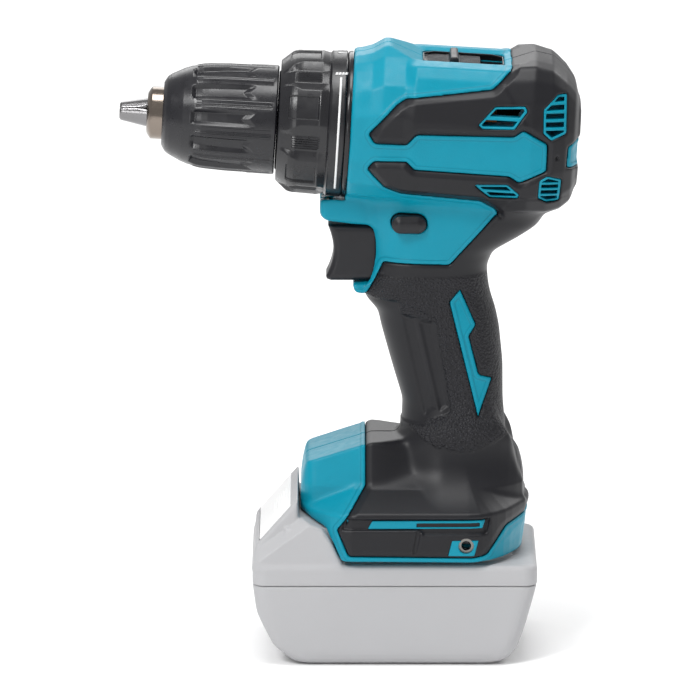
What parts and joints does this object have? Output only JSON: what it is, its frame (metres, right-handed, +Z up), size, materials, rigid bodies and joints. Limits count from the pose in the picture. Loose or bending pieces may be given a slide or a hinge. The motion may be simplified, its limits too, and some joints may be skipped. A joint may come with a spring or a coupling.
{
  "type": "cordless drill",
  "caption": "Cordless drill driver with keyless chuck, torque collar, two-speed selector, trigger, direction lever, brushless motor and planetary gears, and a slide-on battery pack.",
  "frame": {"origin": "centre of the overall box in X and Y, on the plane that the battery pack stands on", "axes": "-X towards the chuck, +X to the rear, +Z up; Y = 0 is the plane where the housing halves meet"},
  "size_m": [0.1854, 0.0806, 0.2499],
  "materials": {
    "teal_shell": "fine moulded satin grain",
    "soft_cover": "fine pebbled grain",
    "black_plastic": "fine satin",
    "bright_steel": "turned and ground",
    "dark_steel": "oiled",
    "cast_aluminium": "cast",
    "copper_winding": "enamelled winding",
    "circuit_board": "solder mask",
    "pale_case": "satin",
    "white_button": "satin",
    "lamp_glass": "clear",
    "brass_insert": "turned",
    "red_lead": "soft sheath",
    "black_lead": "soft sheath",
    "cell_wrap": "shrink wrap"
  },
  "bodies": {
    "tool": {"left_housing": "teal_shell", "right_housing": "teal_shell", "left_grip_cover": "soft_cover", "right_grip_cover": "soft_cover", "gear_case": "cast_aluminium", "front_ring": "black_plastic", "spindle_bearing": "bright_steel", "ring_gear": "dark_steel", "motor_plate": "cast_aluminium", "front_motor_bearing": "bright_steel", "rear_motor_bearing": "bright_steel", "motor_stator": "copper_winding", "clutch_spring": "bright_steel", "trigger_spring": "bright_steel", "switch_module": "black_plastic", "lamp_lens": "lamp_glass", "lamp_board": "circuit_board", "control_board": "circuit_board", "terminal_block": "black_plastic", "positive_lead": "red_lead", "negative_lead": "black_lead", "motor_lead_1": "black_lead", "motor_lead_2": "black_lead", "motor_lead_3": "black_lead", "left_insert_nut": "brass_insert", "right_insert_nut": "brass_insert"},
    "collar": {"torque_collar": "black_plastic", "clutch_nut": "dark_steel"},
    "motor": {"motor_rotor": "dark_steel", "motor_shaft": "bright_steel", "cooling_fan": "black_plastic"},
    "chuck": {"spindle": "bright_steel", "chuck_body": "bright_steel"},
    "sleeve": {"chuck_sleeve": "black_plastic", "jaw_nut": "dark_steel"},
    "jaw_1": {"chuck_jaw_1": "bright_steel"},
    "jaw_2": {"chuck_jaw_2": "bright_steel"},
    "jaw_3": {"chuck_jaw_3": "bright_steel"},
    "planet_1": {"planet_gear_1": "bright_steel"},
    "planet_2": {"planet_gear_2": "bright_steel"},
    "planet_3": {"planet_gear_3": "bright_steel"},
    "trigger": {"trigger": "black_plastic"},
    "lever": {"reverse_lever": "black_plastic"},
    "selector": {"speed_selector": "black_plastic"},
    "battery": {"battery_lower_case": "pale_case", "battery_top_case": "pale_case", "battery_board": "circuit_board", "button_spring": "bright_steel", "cell_1": "cell_wrap", "cell_2": "cell_wrap", "cell_3": "cell_wrap", "cell_4": "cell_wrap", "cell_5": "cell_wrap", "cell_6": "cell_wrap", "cell_7": "cell_wrap", "cell_8": "cell_wrap", "cell_9": "cell_wrap", "cell_10": "cell_wrap"},
    "button": {"release_button": "white_button"}
  },
  "joints": [
    {"name": "chuck_spin", "type": "hinge", "parent": "tool", "child": "chuck", "pos_m": [0, 0, 0.2149], "axis": [0.9982, 0, -0.0593], "continuous": true},
    {"name": "motor_spin", "type": "hinge", "parent": "tool", "child": "motor", "pos_m": [0, 0, 0.2149], "axis": [0.9982, 0, -0.0593], "continuous": true},
    {"name": "collar_turn", "type": "hinge", "parent": "tool", "child": "collar", "pos_m": [0, 0, 0.2149], "axis": [0.9982, 0, -0.0593], "range_deg": [0, 300]},
    {"name": "sleeve_turn", "type": "hinge", "parent": "chuck", "child": "sleeve", "pos_m": [0, 0, 0.2149], "axis": [0.9982, 0, -0.0593], "range_deg": [0, 1440]},
    {"name": "jaw_1_slide", "type": "slide", "parent": "chuck", "child": "jaw_1", "axis": [0.9829, 0, 0.184], "range_m": [0, 0.02267]},
    {"name": "jaw_2_slide", "type": "slide", "parent": "chuck", "child": "jaw_2", "axis": [0.9614, -0.2095, -0.1783], "range_m": [0, 0.02267]},
    {"name": "jaw_3_slide", "type": "slide", "parent": "chuck", "child": "jaw_3", "axis": [0.9614, 0.2095, -0.1783], "range_m": [0, 0.02267]},
    {"name": "planet_1_spin", "type": "hinge", "parent": "chuck", "child": "planet_1", "pos_m": [0.01397, 0.0105, 0.21407], "axis": [0.9982, 0, -0.0593], "continuous": true},
    {"name": "planet_2_spin", "type": "hinge", "parent": "chuck", "child": "planet_2", "pos_m": [0.01452, -0.00525, 0.22315], "axis": [0.9982, 0, -0.0593], "continuous": true},
    {"name": "planet_3_spin", "type": "hinge", "parent": "chuck", "child": "planet_3", "pos_m": [0.01344, -0.00525, 0.20499], "axis": [0.9982, 0, -0.0593], "continuous": true},
    {"name": "trigger_pull", "type": "slide", "parent": "tool", "child": "trigger", "axis": [1, 0, 0], "range_m": [0, 0.0065], "stiffness_N_per_m": 900, "springref_m": -0.004, "deforming": ["trigger_spring"]},
    {"name": "lever_shift", "type": "slide", "parent": "tool", "child": "lever", "axis": [0, 1, 0], "range_m": [-0.003, 0.003]},
    {"name": "selector_shift", "type": "slide", "parent": "tool", "child": "selector", "axis": [0.9982, 0, -0.0593], "range_m": [0, 0.009]},
    {"name": "battery_slide", "type": "slide", "parent": "tool", "child": "battery", "axis": [-1, 0, 0], "range_m": [0, 0.095]},
    {"name": "button_press", "type": "slide", "parent": "battery", "child": "button", "axis": [-0.648, 0, -0.7616], "range_m": [0, 0.005], "stiffness_N_per_m": 700, "springref_m": -0.003, "deforming": ["button_spring"]}
  ],
  "couplings": [
    {"joint": "motor_spin", "follows": "chuck_spin", "ratio": 5},
    {"joint": "planet_1_spin", "follows": "chuck_spin", "ratio": -2.6667},
    {"joint": "planet_2_spin", "follows": "chuck_spin", "ratio": -2.6667},
    {"joint": "planet_3_spin", "follows": "chuck_spin", "ratio": -2.6667},
    {"joint": "jaw_1_slide", "follows": "sleeve_turn", "m_per_rad": 0.00090215},
    {"joint": "jaw_2_slide", "follows": "sleeve_turn", "m_per_rad": 0.00090215},
    {"joint": "jaw_3_slide", "follows": "sleeve_turn", "m_per_rad": 0.00090215}
  ]
}
